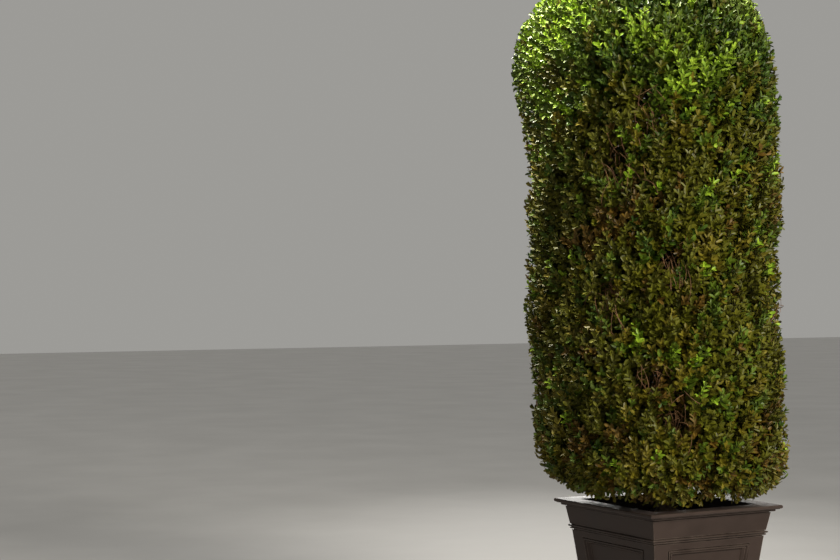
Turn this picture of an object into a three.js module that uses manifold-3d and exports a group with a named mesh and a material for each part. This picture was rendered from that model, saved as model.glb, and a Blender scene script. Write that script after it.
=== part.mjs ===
// A boxwood clipped as a tall column with a domed top, in a square tapered planter with panelled sides.
// Sizes are in millimetres and +Z is up. The origin is the middle of the planter's flat underside.
import * as THREE from "three";
import { mergeVertices } from "three/addons/utils/BufferGeometryUtils.js";
import Module from "manifold-3d";

const wasm = await Module();
wasm.setup();

const clearance = 0.3; // between pieces that touch
const quarterTurn = Math.PI / 2;
const radians = THREE.MathUtils.degToRad;

// The planter. A half is half of a width, measured at the height z.
const planter = {
  height: 600,
  wall: 20,
  floor: 30,
  slope: 0.126, // how far each side leans out for each unit of height
  faceTop: 486, // top of the panelled face
  faceHalf: 251, // half width of the panelled face at its top
  frameThick: 12, // stiles and rails, laid on the wall
  stile: 60,
  topRail: 23,
  bottomRail: 44,
  bead: 20, // width of the moulding round each panel
  beltHeight: 22,
  beltHalf: 262,
  friezeTopHalf: 269,
  friezeFootHalf: 257,
  capHeight: 27,
  capHalf: 300,
  capInnerHalf: 228,
  plinthHeight: 72,
  plinthHalf: 211,
  groove: 4, // how far the dark lines between the mouldings lie back
};
planter.friezeFoot = planter.faceTop + planter.beltHeight;
planter.capFoot = planter.height - planter.capHeight;

const soil = { edge: 546, middle: 552, middleHalf: 90 };

// The crown's clipped outline is a column that leans a little, with a dome on top and a rounded underside.
// Its plan is a circle with slightly flattened sides.
const crown = {
  foot: 605,
  tuckTop: 800, // the underside rounds in below this height
  domeFoot: 2080,
  top: 2620,
  half: 437,
  widening: 0.008, // how much the half width grows for each unit of height
  footShare: 0.5,
  planPower: 2.5,
  domePower: 2.5,
  lean: 0.028,
  footShift: 26, // the crown moves over by this much just above its foot
  leanAngle: radians(142),
  coreDepth: 38, // how far the dense core lies inside the clipped outline
  aboveRim: 4, // no leaf comes nearer to the planter's rim
};

// Hollow places in the clipped face, where twigs show: angle round the crown, height, radius and depth.
const hollows = [
  { angle: 232, z: 2010, radius: 75, depth: 42 },
  { angle: 217, z: 1850, radius: 90, depth: 38 },
  { angle: 241, z: 1500, radius: 55, depth: 44 },
  { angle: 229, z: 1085, radius: 70, depth: 40 },
  { angle: 242, z: 960, radius: 80, depth: 46 },
  { angle: 210, z: 1380, radius: 60, depth: 34 },
  { angle: 30, z: 1700, radius: 80, depth: 40 },
  { angle: 68, z: 1180, radius: 75, depth: 42 },
  { angle: 118, z: 1950, radius: 70, depth: 38 },
  { angle: 150, z: 1010, radius: 80, depth: 40 },
  { angle: 318, z: 1290, radius: 60, depth: 36 },
];

// Places where the clipped face swells out.
const bulges = [
  { angle: 142, z: 2240, radius: 300, depth: 24 },
  { angle: 120, z: 930, radius: 240, depth: 16 },
  { angle: 190, z: 1240, radius: 260, depth: 12 },
];

// The masses of foliage: four in each tier round the trunk, and the dome on top.
const straightSides = ["right", "back", "left", "front"];
const cornerSides = ["back_right", "back_left", "front_left", "front_right"];
const tiers = [
  { name: "lower", foot: crown.foot, top: 1090, turn: 17, boughShift: 60, sides: straightSides },
  { name: "middle", foot: 1090, top: 1620, turn: 62, boughShift: 0, sides: cornerSides },
  { name: "upper", foot: 1620, top: 2130, turn: 17, boughShift: 0, sides: straightSides },
];
const dome = { foot: 2130, twigs: 22, stem: 90, around: 20 };
const mass = {
  spread: radians(90),
  seam: 3, // half of the gap between neighbouring masses
  innerShare: 0.45, // the crown is bare inside this share of its radius
  stem: 110,
  twigs: 10,
  edge: 26, // twigs keep this far from a mass's foot and top
  acrossSteps: 6,
  heightSteps: 4,
};

const trunk = {
  foot: soil.middle + clearance,
  top: 2096,
  footRadius: 27,
  topRadius: 9,
  flare: 25,
  flareHeight: 26,
  sway: 6,
  sides: 8,
  steps: 14,
};
const bough = {
  rise: 250,
  reach: 150, // from the crown's middle to the tip
  drop: 40, // how far the tip lies below the middle of its mass
  sag: 18,
  bow: 16,
  footShare: 0.62, // thickness at its foot, as a share of the trunk's there
  tipRadius: 7,
  sides: 6,
  steps: 5,
};
const twig = { footRadius: 6, tipRadius: 5, length: 66, tipDepth: 12, upturn: 0.35, underTurn: -0.1 };
const leaf = {
  length: 68,
  width: 34,
  thick: 5,
  perTwig: 3,
  apart: 8,
  leastLift: 0.2, // how far a leaf stands out from the clipped face
  mostLift: 0.55,
  sizes: [1, 0.85, 0.7, 0.55], // tried in turn until the leaf fits
};
const goldenShare = 0.618034;

// Repeatable random numbers from 0 to 1.
function randomFrom(seed) {
  let state = seed >>> 0;
  return () => {
    state = (state + 0x6d2b79f5) >>> 0;
    let mixed = Math.imul(state ^ (state >>> 15), state | 1);
    mixed ^= mixed + Math.imul(mixed ^ (mixed >>> 7), mixed | 61);
    return ((mixed ^ (mixed >>> 14)) >>> 0) / 4294967296;
  };
}

function signedVolume(geometry) {
  const place = geometry.attributes.position;
  const index = geometry.index.array;
  const [a, b, c] = [new THREE.Vector3(), new THREE.Vector3(), new THREE.Vector3()];
  let sum = 0;
  for (let i = 0; i < index.length; i += 3) {
    a.fromBufferAttribute(place, index[i]);
    b.fromBufferAttribute(place, index[i + 1]);
    c.fromBufferAttribute(place, index[i + 2]);
    sum += a.dot(b.cross(c)) / 6;
  }
  return sum;
}

// A closed mesh from points and polygons, with its faces turned outwards.
function closedMesh(points, polygons) {
  const index = polygons.flatMap((loop) =>
    loop.slice(2).flatMap((_, i) => [loop[0], loop[i + 1], loop[i + 2]]),
  );
  const geometry = new THREE.BufferGeometry().setFromPoints(points).setIndex(index);
  if (signedVolume(geometry) < 0) geometry.setIndex([...index].reverse());
  return geometry;
}

// Rings of equal counts joined in order. Open runs are capped, and closed ones join their ends.
function skinOver(rings, closed = false) {
  const around = rings[0].length;
  const polygons = [];
  const spans = closed ? rings.length : rings.length - 1;
  for (let r = 0; r < spans; r++) {
    const here = r * around;
    const next = ((r + 1) % rings.length) * around;
    for (let i = 0; i < around; i++) {
      const j = (i + 1) % around;
      polygons.push([here + i, here + j, next + j], [here + i, next + j, next + i]);
    }
  }
  if (!closed) {
    const last = (rings.length - 1) * around;
    polygons.push([...rings[0].keys()].reverse());
    polygons.push([...rings[0].keys()].map((i) => last + i));
  }
  return closedMesh(rings.flat(), polygons);
}

// A tapering limb along points, with a radius at each point and flat ends.
function limb(points, radii, sides) {
  const side = new THREE.Vector3();
  const rings = points.map((point, i) => {
    const [before, after] = [points[Math.max(i - 1, 0)], points[Math.min(i + 1, points.length - 1)]];
    const along = after.clone().sub(before).normalize();
    if (i === 0) side.set(along.z, 0.1, -along.x).cross(along);
    side.addScaledVector(along, -side.dot(along)).normalize();
    const across = along.clone().cross(side);
    return Array.from({ length: sides }, (_, k) => {
      const turn = (2 * Math.PI * k) / sides;
      return point
        .clone()
        .addScaledVector(side, radii[i] * Math.cos(turn))
        .addScaledVector(across, radii[i] * Math.sin(turn));
    });
  });
  return skinOver(rings);
}

function toSolid(geometry) {
  const bare = geometry.clone();
  bare.deleteAttribute("normal");
  bare.deleteAttribute("uv");
  const merged = mergeVertices(bare, 1e-3);
  return new wasm.Manifold(
    new wasm.Mesh({
      numProp: 3,
      vertProperties: merged.attributes.position.array,
      triVerts: new Uint32Array(merged.index.array),
    }),
  );
}

function toGeometry(solid) {
  const mesh = solid.getMesh();
  return new THREE.BufferGeometry()
    .setAttribute("position", new THREE.BufferAttribute(mesh.vertProperties, 3))
    .setIndex(new THREE.BufferAttribute(mesh.triVerts, 1));
}

// Fuses solids into one body, leaving out any loose scrap or sealed hollow.
function fuse(solids) {
  const bodies = wasm.Manifold.union(solids).simplify(0.02).decompose();
  return bodies.reduce((best, body) => (body.volume() > best.volume() ? body : best));
}

const materials = {
  paint: new THREE.MeshStandardMaterial({ color: 0x4a423d, roughness: 0.45, metalness: 0.0 }),
  earth: new THREE.MeshStandardMaterial({ color: 0x2b1f17, roughness: 0.95, metalness: 0.0 }),
  bark: new THREE.MeshStandardMaterial({ color: 0x6b5a41, roughness: 0.9, metalness: 0.0 }),
  foliage: new THREE.MeshStandardMaterial({ color: 0x55621f, roughness: 0.5, metalness: 0.0 }),
};

const part = new THREE.Group();

function addPiece(name, geometry, material, turn = 0) {
  const piece = new THREE.Mesh(geometry, material);
  piece.name = name;
  piece.rotation.z = turn;
  part.add(piece);
}

// Half width of the panelled face at a height.
function faceHalfAt(z) {
  return planter.faceHalf - planter.slope * (planter.faceTop - z);
}

// Half width of the wall's outer face, which carries the frames, the frieze and the belt.
function wallHalfAt(z) {
  return faceHalfAt(z) - planter.frameThick;
}

// A square shell about the Z axis, from [half width, height] points that start and end on the axis.
function squareTurned(profile) {
  const corners = profile.map(([half, z]) => new THREE.Vector2(half * Math.SQRT2, z));
  const turned = new THREE.LatheGeometry(corners, 4, Math.PI / 4);
  turned.rotateX(quarterTurn);
  const bare = mergeVertices(new THREE.BufferGeometry()
    .setAttribute("position", turned.attributes.position)
    .setIndex(turned.index), 1e-3);
  if (signedVolume(bare) < 0) bare.setIndex([...bare.index.array].reverse());
  return bare;
}

// A run along the front side, mitred at both ends, from [half width, height] points round its section.
function mitredRun(section) {
  const outline = new THREE.Shape(section.map(([half, z]) => new THREE.Vector2(half, z)));
  const run = new THREE.ExtrudeGeometry(outline, { depth: 2, bevelEnabled: false });
  const place = run.attributes.position;
  for (let i = 0; i < place.count; i++) {
    const [half, z, along] = [place.getX(i), place.getY(i), place.getZ(i) - 1];
    place.setXYZ(i, -along * (half - clearance), -half, z);
  }
  return run;
}

// Puts a point of the front's panelled face in place: s across, z up, and depth inwards from the face.
function onFace(s, z, depth) {
  const half = faceHalfAt(z);
  return new THREE.Vector3((s * (half - depth - clearance)) / half, -(half - depth), z);
}

const panel = {
  foot: planter.plinthHeight + planter.bottomRail,
  top: planter.faceTop - planter.topRail,
};

// Corners of a panel's opening, taken in by an inset.
function panelCorners(inset) {
  const corner = (z) => faceHalfAt(z) - planter.stile - inset;
  const [foot, top] = [panel.foot + inset, panel.top - inset];
  return [[-corner(foot), foot], [corner(foot), foot], [corner(top), top], [-corner(top), top]];
}

// Stiles and rails of one side, as one board with the panel's opening.
function faceFrame() {
  const [foot, top] = [planter.plinthHeight + clearance, planter.faceTop - clearance];
  const outline = new THREE.Shape([
    new THREE.Vector2(-faceHalfAt(foot), foot),
    new THREE.Vector2(faceHalfAt(foot), foot),
    new THREE.Vector2(faceHalfAt(top), top),
    new THREE.Vector2(-faceHalfAt(top), top),
  ]);
  outline.holes.push(new THREE.Path(panelCorners(0).reverse().map(([s, z]) => new THREE.Vector2(s, z))));
  const thick = planter.frameThick - clearance;
  const board = new THREE.ExtrudeGeometry(outline, { depth: thick, bevelEnabled: false });
  const place = board.attributes.position;
  for (let i = 0; i < place.count; i++) {
    const spot = onFace(place.getX(i), place.getY(i), thick - place.getZ(i));
    place.setXYZ(i, spot.x, spot.y, spot.z);
  }
  return board;
}

// The moulding round a panel: two ridges, with a groove before each, that step down to the panel.
function panelBead() {
  const width = planter.bead;
  const back = planter.frameThick - clearance;
  const section = [
    [clearance, back],
    [clearance, 5],
    [0.13 * width, 5],
    [0.16 * width, 0.5],
    [0.22 * width, -1.2],
    [0.42 * width, -1.2],
    [0.48 * width, 1],
    [0.5 * width, 5],
    [0.61 * width, 5],
    [0.64 * width, 2.6],
    [0.76 * width, 2.4],
    [0.88 * width, 5.5],
    [width, 8.5],
    [width, back],
  ];
  const rings = section.map(([inset, depth]) => panelCorners(inset).map(([s, z]) => onFace(s, z, depth)));
  return skinOver(rings, true);
}

function buildPlanter() {
  const { floor, wall, capFoot } = planter;
  const [wallFoot, wallTop] = [0, capFoot - clearance];
  addPiece(
    "planter_box",
    squareTurned([
      [0, wallFoot],
      [wallHalfAt(wallFoot), wallFoot],
      [wallHalfAt(wallTop), wallTop],
      [wallHalfAt(wallTop) - wall, wallTop],
      [wallHalfAt(floor) - wall, floor],
      [0, floor],
    ]),
    materials.paint,
  );
  const inside = (z) => wallHalfAt(z) - wall - clearance;
  addPiece(
    "soil",
    squareTurned([
      [0, floor + clearance],
      [inside(floor), floor + clearance],
      [inside(soil.edge), soil.edge],
      [soil.middleHalf, soil.middle],
      [0, soil.middle],
    ]),
    materials.earth,
  );

  const { capHalf, capInnerHalf, height, friezeFoot, friezeTopHalf, friezeFootHalf } = planter;
  const { beltHalf, faceTop, faceHalf, plinthHalf, plinthHeight, groove } = planter;
  const sections = {
    // a thick cap over a fillet, each with a groove under it
    rim: [
      [capInnerHalf, capFoot],
      [friezeTopHalf - groove, capFoot],
      [friezeTopHalf - groove, capFoot + 3.5],
      [friezeTopHalf + 11, capFoot + 4],
      [friezeTopHalf + 12, capFoot + 5],
      [friezeTopHalf + 12, capFoot + 10.5],
      [friezeTopHalf + 14, capFoot + 12],
      [capHalf - 7, capFoot + 12.5],
      [capHalf - 7, capFoot + 14.5],
      [capHalf - 2.5, capFoot + 15],
      [capHalf, capFoot + 17.5],
      [capHalf, height - 3],
      [capHalf - 3, height],
      [capInnerHalf, height],
    ],
    frieze: [
      [wallHalfAt(friezeFoot) + clearance, friezeFoot + clearance],
      [friezeFootHalf, friezeFoot + clearance],
      [friezeTopHalf, capFoot - clearance],
      [wallHalfAt(capFoot) + clearance, capFoot - clearance],
    ],
    // a bead over a smaller fillet, with grooves under and over them
    belt: [
      [wallHalfAt(faceTop) + clearance, faceTop],
      [faceHalf - groove, faceTop],
      [faceHalf - groove, faceTop + 3],
      [beltHalf - 6, faceTop + 3.5],
      [beltHalf - 5, faceTop + 5],
      [beltHalf - 5, faceTop + 8.5],
      [faceHalf + 2, faceTop + 9],
      [faceHalf + 2, faceTop + 11],
      [beltHalf - 2, faceTop + 11.5],
      [beltHalf, faceTop + 13.5],
      [beltHalf, faceTop + 16],
      [beltHalf - 2, faceTop + 18],
      [faceHalf + 2, faceTop + 18.5],
      [faceHalf + 2, faceTop + 20.5],
      [friezeFootHalf, faceTop + 21],
      [friezeFootHalf, friezeFoot],
      [wallHalfAt(friezeFoot) + clearance, friezeFoot],
    ],
    plinth: [
      [wallHalfAt(0) + clearance, 0],
      [plinthHalf, 0],
      [plinthHalf, plinthHeight - 14],
      [plinthHalf - 3, plinthHeight - 12],
      [plinthHalf - 4, plinthHeight - 4],
      [plinthHalf - 8, plinthHeight],
      [wallHalfAt(plinthHeight) + clearance, plinthHeight],
    ],
  };
  ["front", "right", "back", "left"].forEach((side, k) => {
    for (const [name, section] of Object.entries(sections)) {
      addPiece(`planter_${name}_${side}`, mitredRun(section), materials.paint, k * quarterTurn);
    }
    addPiece(`planter_frame_${side}`, faceFrame(), materials.paint, k * quarterTurn);
    addPiece(`planter_bead_${side}`, panelBead(), materials.paint, k * quarterTurn);
  });
}

// Middle of the leaning crown at a height.
function crownMiddle(z) {
  const rise = z - planter.height;
  const shift = crown.lean * rise + crown.footShift * (1 - Math.exp(-Math.max(rise, 0) / 150));
  return new THREE.Vector3(shift * Math.cos(crown.leanAngle), shift * Math.sin(crown.leanAngle), z);
}

function outwards(angle) {
  return new THREE.Vector3(Math.cos(angle), Math.sin(angle), 0);
}

// How deep a round dent or bulge is at a place on the clipped face.
function dentDepth(dent, angle, z) {
  const turn = angle - radians(dent.angle);
  const across = crown.half * Math.atan2(Math.sin(turn), Math.cos(turn));
  const away = Math.hypot(across, z - dent.z) / dent.radius;
  return away < 1 ? dent.depth * (1 - away * away) ** 2 : 0;
}

// Gentle swells of the clipped face, with its bulges and less its hollows.
function swellAt(angle, z) {
  const broad = 6 * Math.sin(3 * angle + z / 190) + 4 * Math.sin(5 * angle - z / 130);
  const fine = 3 * Math.sin(angle + z / 75);
  const proud = Math.max(...bulges.map((bulge) => dentDepth(bulge, angle, z)));
  const sunk = Math.max(...hollows.map((hollow) => dentDepth(hollow, angle, z)));
  return broad + fine + proud - sunk;
}

// How wide the crown is at a height, as a share of its full width, inside an inset outline.
function shareAt(z, inset) {
  const [foot, top] = [crown.foot + inset, crown.top - inset];
  if (z > crown.domeFoot) {
    const up = Math.min((z - crown.domeFoot) / (top - crown.domeFoot), 1);
    return (1 - up ** crown.domePower) ** (1 / crown.domePower);
  }
  const down = Math.min(Math.max((crown.tuckTop - z) / (crown.tuckTop - foot), 0), 1);
  return crown.footShare + (1 - crown.footShare) * Math.sqrt(1 - down * down);
}

// Distance from the crown's middle to its outline, taken in by an inset.
function crownRadius(angle, z, inset = 0) {
  const power = crown.planPower;
  const plan = (Math.abs(Math.cos(angle)) ** power + Math.abs(Math.sin(angle)) ** power) ** (-1 / power);
  const share = shareAt(z, inset);
  const half = crown.half + crown.widening * (z - crown.foot);
  return Math.max(share * (half * plan - inset + swellAt(angle, z)), 0);
}

function crownPoint(angle, z, inset = 0) {
  return crownMiddle(z).addScaledVector(outwards(angle), crownRadius(angle, z, inset));
}

// Which way the clipped face looks.
function crownNormal(angle, z) {
  const step = 6;
  const [low, high] = [Math.max(z - step, crown.foot), Math.min(z + step, crown.top - 1)];
  const fall = (crownRadius(angle, low) - crownRadius(angle, high)) / (high - low);
  return outwards(angle).add(new THREE.Vector3(0, 0, THREE.MathUtils.clamp(fall, -2, 6))).normalize();
}

// Half thickness of the trunk, which flares at its foot.
function trunkRadius(z) {
  const up = (z - trunk.foot) / (trunk.top - trunk.foot);
  const taper = THREE.MathUtils.lerp(trunk.footRadius, trunk.topRadius, up ** 0.85);
  return taper + trunk.flare * Math.exp(-(z - trunk.foot) / trunk.flareHeight);
}

// Middle of the trunk, which leans with the crown and sways a little on its way up.
function trunkMiddle(z) {
  const up = (z - trunk.foot) / (trunk.top - trunk.foot);
  const fade = Math.sin(Math.PI * up);
  const sway = new THREE.Vector3(
    trunk.sway * fade * Math.sin(up * 9),
    trunk.sway * fade * Math.cos(up * 7),
    0,
  );
  const foot = crownMiddle(planter.height).setZ(trunk.foot);
  return foot.lerp(crownMiddle(trunk.top), up).add(sway);
}

// The trunk in level rings, so its foot is cut flat on the soil.
function trunkShape(extra = 0) {
  const rings = Array.from({ length: trunk.steps + 1 }, (_, i) => {
    const z = THREE.MathUtils.lerp(trunk.foot, trunk.top, (i / trunk.steps) ** 1.7);
    return Array.from({ length: trunk.sides }, (_, k) =>
      trunkMiddle(z).addScaledVector(outwards((2 * Math.PI * k) / trunk.sides), trunkRadius(z) + extra),
    );
  });
  return skinOver(rings);
}

// A bough rises from the trunk and bends outwards to the foot of a mass's stem.
function boughPath(tier, angle) {
  const tipZ = (tier.foot + tier.top) / 2 + tier.boughShift - bough.drop;
  const start = trunkMiddle(tipZ - bough.rise);
  const tip = crownMiddle(tipZ).addScaledVector(outwards(angle), bough.reach);
  const bend = start.clone().lerp(tip, 0.5);
  bend.z -= bough.sag;
  bend.addScaledVector(outwards(angle), bough.bow);
  return new THREE.QuadraticBezierCurve3(start, bend, tip);
}

function buildBough(name, path) {
  const points = path.getPoints(bough.steps);
  const footRadius = bough.footShare * trunkRadius(points[0].z);
  const radii = points.map((_, i) => THREE.MathUtils.lerp(footRadius, bough.tipRadius, i / bough.steps));
  const cut = toSolid(limb(points, radii, bough.sides)).subtract(toSolid(trunkShape(clearance * 1.5)));
  addPiece(name, toGeometry(fuse([cut])), materials.bark);
}

// The stem of a mass goes on from a limb's tip into the core.
function massStem(tip, direction, length) {
  const start = tip.clone().addScaledVector(direction, clearance);
  const end = start.clone().addScaledVector(direction, length);
  return toSolid(limb([start, end], [bough.tipRadius, bough.tipRadius - 1], bough.sides));
}

// Dense core of a side mass: a block of the column's wall, bare within.
function sideCore(tier, centre) {
  const half = mass.spread / 2;
  const low = Math.max(tier.foot, crown.foot + crown.coreDepth) + mass.seam;
  const high = tier.top - mass.seam;
  const points = [];
  const at = (layer, i, j) => (layer * (mass.acrossSteps + 1) + i) * (mass.heightSteps + 1) + j;
  for (const layer of [0, 1]) {
    for (let i = 0; i <= mass.acrossSteps; i++) {
      for (let j = 0; j <= mass.heightSteps; j++) {
        const z = THREE.MathUtils.lerp(low, high, j / mass.heightSteps);
        const turn = THREE.MathUtils.lerp(-half, half, i / mass.acrossSteps);
        const full = crownRadius(centre + turn, z, crown.coreDepth);
        const radius = layer ? full : full * mass.innerShare;
        const edge = Math.sign(turn) * (Math.abs(turn) > half - 1e-6 ? mass.seam / radius : 0);
        points.push(crownMiddle(z).addScaledVector(outwards(centre + turn - edge), radius));
      }
    }
  }
  const [across, up] = [mass.acrossSteps, mass.heightSteps];
  const polygons = [];
  for (let i = 0; i < across; i++) {
    for (let j = 0; j < up; j++) {
      polygons.push([at(1, i, j), at(1, i + 1, j), at(1, i + 1, j + 1), at(1, i, j + 1)]);
      polygons.push([at(0, i, j), at(0, i, j + 1), at(0, i + 1, j + 1), at(0, i + 1, j)]);
    }
    polygons.push([at(0, i, 0), at(0, i + 1, 0), at(1, i + 1, 0), at(1, i, 0)]);
    polygons.push([at(0, i, up), at(1, i, up), at(1, i + 1, up), at(0, i + 1, up)]);
  }
  for (let j = 0; j < up; j++) {
    polygons.push([at(0, 0, j), at(1, 0, j), at(1, 0, j + 1), at(0, 0, j + 1)]);
    polygons.push([at(0, across, j), at(0, across, j + 1), at(1, across, j + 1), at(1, across, j)]);
  }
  return toSolid(closedMesh(points, polygons));
}

// Dense core of the dome, rounded to the top.
function domeCore() {
  const [low, high] = [dome.foot + mass.seam, crown.top - crown.coreDepth];
  const rings = [0, 0.28, 0.52, 0.72, 0.87, 0.96, 0.995].map((up) => {
    const z = THREE.MathUtils.lerp(low, high, up);
    return Array.from({ length: dome.around }, (_, i) =>
      crownPoint((2 * Math.PI * i) / dome.around, z, crown.coreDepth),
    );
  });
  return toSolid(skinOver(rings));
}

// A leaf is a thin diamond of eight faces along a direction.
function leafShape(foot, direction, across, size) {
  const up = direction.clone().cross(across).normalize();
  const side = up.clone().cross(direction).normalize();
  const middle = foot.clone().addScaledVector(direction, 0.52 * leaf.length * size);
  const points = [
    foot,
    middle.clone().addScaledVector(side, (leaf.width * size) / 2),
    foot.clone().addScaledVector(direction, leaf.length * size),
    middle.clone().addScaledVector(side, (-leaf.width * size) / 2),
    middle.clone().addScaledVector(up, leaf.thick / 2),
    middle.clone().addScaledVector(up, -leaf.thick / 2),
  ];
  const polygons = [0, 1, 2, 3].flatMap((i) => {
    const j = (i + 1) % 4;
    return [[i, j, 4], [j, i, 5]];
  });
  return { points, geometry: closedMesh(points, polygons) };
}

// Whether a point lies inside the clipped outline and clear of the planter.
function insideCrown(point) {
  if (point.z < planter.height + crown.aboveRim || point.z > crown.top) return false;
  const middle = crownMiddle(point.z);
  const angle = Math.atan2(point.y - middle.y, point.x - middle.x);
  const z = Math.max(point.z, crown.foot);
  return Math.hypot(point.x - middle.x, point.y - middle.y) <= crownRadius(angle, z) + 1;
}

// One twig with its leaves, rooted in the core and ending at the clipped outline.
function twigWithLeaves(angle, z, inSpace, random) {
  const normal = crownNormal(angle, z);
  const turn = z < crown.tuckTop ? twig.underTurn : twig.upturn;
  const growth = normal.clone().add(new THREE.Vector3(0, 0, turn)).normalize();
  const tip = crownPoint(angle, z).addScaledVector(normal, -twig.tipDepth);
  const foot = tip.clone().addScaledVector(growth, -twig.length);
  const stem = limb([foot, tip], [twig.footRadius, twig.tipRadius], 3);
  if (![tip, tip.clone().addScaledVector(growth, 6)].every(inSpace)) return [];
  const solids = [toSolid(stem)];
  const side = new THREE.Vector3(-Math.sin(angle), Math.cos(angle), 0);
  const lift = growth.clone().cross(side);
  const spin = random() * 2 * Math.PI;
  for (let k = 0; k < leaf.perTwig; k++) {
    const way = spin + (2 * Math.PI * k) / leaf.perTwig;
    const across = side.clone().multiplyScalar(Math.cos(way)).addScaledVector(lift, Math.sin(way));
    const outward = THREE.MathUtils.lerp(leaf.leastLift, leaf.mostLift, random());
    const direction = growth.clone().multiplyScalar(outward).add(across).normalize();
    const root = tip.clone().addScaledVector(growth, -leaf.apart * (k + 0.5));
    for (const size of leaf.sizes) {
      const made = leafShape(root, direction, growth.clone().cross(direction), size);
      if (!made.points.every((point) => inSpace(point) && insideCrown(point))) continue;
      solids.push(toSolid(made.geometry));
      break;
    }
  }
  return solids;
}

// Places spread evenly over a mass's face, by golden shares across and even steps up.
function facePlaces(count, low, high, centre, half, random) {
  return Array.from({ length: count }, (_, i) => {
    const across = (((i * goldenShare + random() * 0.06) % 1) * 2 - 1) * half;
    return { angle: centre + across, z: THREE.MathUtils.lerp(low, high, (i + 0.5) / count) };
  });
}

function buildSideMass(name, tier, centre, path, seed) {
  const random = randomFrom(seed);
  const half = mass.spread / 2;
  const inSpace = (point) => {
    if (point.z < tier.foot - (tier.foot === crown.foot ? 1 : -mass.seam)) return false;
    if (point.z > tier.top - mass.seam) return false;
    const middle = crownMiddle(point.z);
    const [x, y] = [point.x - middle.x, point.y - middle.y];
    const turn = Math.atan2(y, x) - centre;
    const off = Math.abs(Math.atan2(Math.sin(turn), Math.cos(turn)));
    return Math.hypot(x, y) * (half - off) > mass.seam;
  };
  const tip = path.getPoint(1);
  const solids = [sideCore(tier, centre), massStem(tip, path.getTangent(1), mass.stem)];
  const [low, high] = [tier.foot + mass.edge, tier.top - mass.edge];
  for (const place of facePlaces(mass.twigs, low, high, centre, 0.9 * half, random)) {
    solids.push(...twigWithLeaves(place.angle, place.z, inSpace, random));
  }
  addPiece(name, toGeometry(fuse(solids)), materials.foliage);
}

function buildDome(seed) {
  const random = randomFrom(seed);
  const tip = trunkMiddle(trunk.top);
  const solids = [domeCore(), massStem(tip, new THREE.Vector3(0, 0, 1), dome.stem)];
  const inSpace = (point) => point.z > dome.foot + mass.seam;
  const [low, high] = [dome.foot + mass.edge, crown.top - 4];
  for (const place of facePlaces(dome.twigs, low, high, Math.PI, Math.PI, random)) {
    solids.push(...twigWithLeaves(place.angle, place.z, inSpace, random));
  }
  addPiece("foliage_dome", toGeometry(fuse(solids)), materials.foliage);
}

function buildPlant() {
  addPiece("trunk", trunkShape(), materials.bark);
  tiers.forEach((tier, row) => {
    tier.sides.forEach((side, k) => {
      const angle = radians(tier.turn) + k * quarterTurn;
      const path = boughPath(tier, angle);
      buildBough(`bough_${tier.name}_${side}`, path);
      buildSideMass(`foliage_${tier.name}_${side}`, tier, angle, path, 11 + 10 * row + k);
    });
  });
  buildDome(97);
}

buildPlanter();
buildPlant();

export default part;
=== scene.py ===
# Boxwood clipped as a domed column in a panelled planter. Metres, +Z up, origin under the planter
import math

import bpy
import numpy as np
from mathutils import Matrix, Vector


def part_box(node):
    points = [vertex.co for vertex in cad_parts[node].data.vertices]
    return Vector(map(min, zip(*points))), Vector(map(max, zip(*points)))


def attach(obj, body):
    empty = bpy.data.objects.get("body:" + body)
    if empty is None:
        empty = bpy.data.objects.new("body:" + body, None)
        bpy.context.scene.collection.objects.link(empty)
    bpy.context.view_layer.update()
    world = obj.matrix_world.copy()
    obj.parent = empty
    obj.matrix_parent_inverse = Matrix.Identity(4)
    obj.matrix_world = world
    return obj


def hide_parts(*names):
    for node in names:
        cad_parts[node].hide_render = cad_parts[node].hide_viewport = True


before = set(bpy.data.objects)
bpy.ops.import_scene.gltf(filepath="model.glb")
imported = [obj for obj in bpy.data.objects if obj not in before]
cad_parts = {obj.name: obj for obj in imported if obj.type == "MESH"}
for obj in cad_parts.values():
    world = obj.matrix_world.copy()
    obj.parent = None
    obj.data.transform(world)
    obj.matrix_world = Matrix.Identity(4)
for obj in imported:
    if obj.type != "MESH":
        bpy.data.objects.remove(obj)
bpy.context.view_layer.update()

rng = np.random.default_rng(4127)
up = np.array([0.0, 0.0, 1.0])
print("frame loaded:", len(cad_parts), "nodes")

# Clipped outline of the crown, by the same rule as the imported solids
crown = {
    "foot": 0.605, "tuckTop": 0.8, "domeFoot": 2.08, "top": 2.62,
    "half": 0.437, "widening": 0.008, "footShare": 0.5,
    "planPower": 2.5, "domePower": 2.5,
    "lean": 0.028, "footShift": 0.026, "leanAngle": math.radians(142),
    "rimTop": 0.6, "shiftRise": 0.15,
    # amplitude, waves round the crown and pitch of the slight ripples
    "ripples": [(0.006, 3, 0.19), (0.004, 5, -0.13), (0.003, 1, 0.075)],
    # angle round the crown, height, radius and depth of each dent or swelling
    "hollows": [
        (232, 2.01, 0.075, 0.042), (217, 1.85, 0.09, 0.038), (241, 1.5, 0.055, 0.044),
        (229, 1.085, 0.07, 0.04), (242, 0.96, 0.08, 0.046), (210, 1.38, 0.06, 0.034),
        (30, 1.7, 0.08, 0.04), (68, 1.18, 0.075, 0.042), (118, 1.95, 0.07, 0.038),
        (150, 1.01, 0.08, 0.04), (318, 1.29, 0.06, 0.036),
    ],
    "bulges": [(142, 2.24, 0.3, 0.024), (120, 0.93, 0.24, 0.016), (190, 1.24, 0.26, 0.012)],
}


def unit(v):
    return v / np.maximum(np.linalg.norm(v, axis=-1, keepdims=True), 1e-9)


def outwards(angle):
    return np.stack([np.cos(angle), np.sin(angle), np.zeros_like(angle)], -1)


def ramp(value, low, high):
    t = np.clip((value - low) / (high - low), 0, 1)
    return t * t * (3 - 2 * t)


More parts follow.
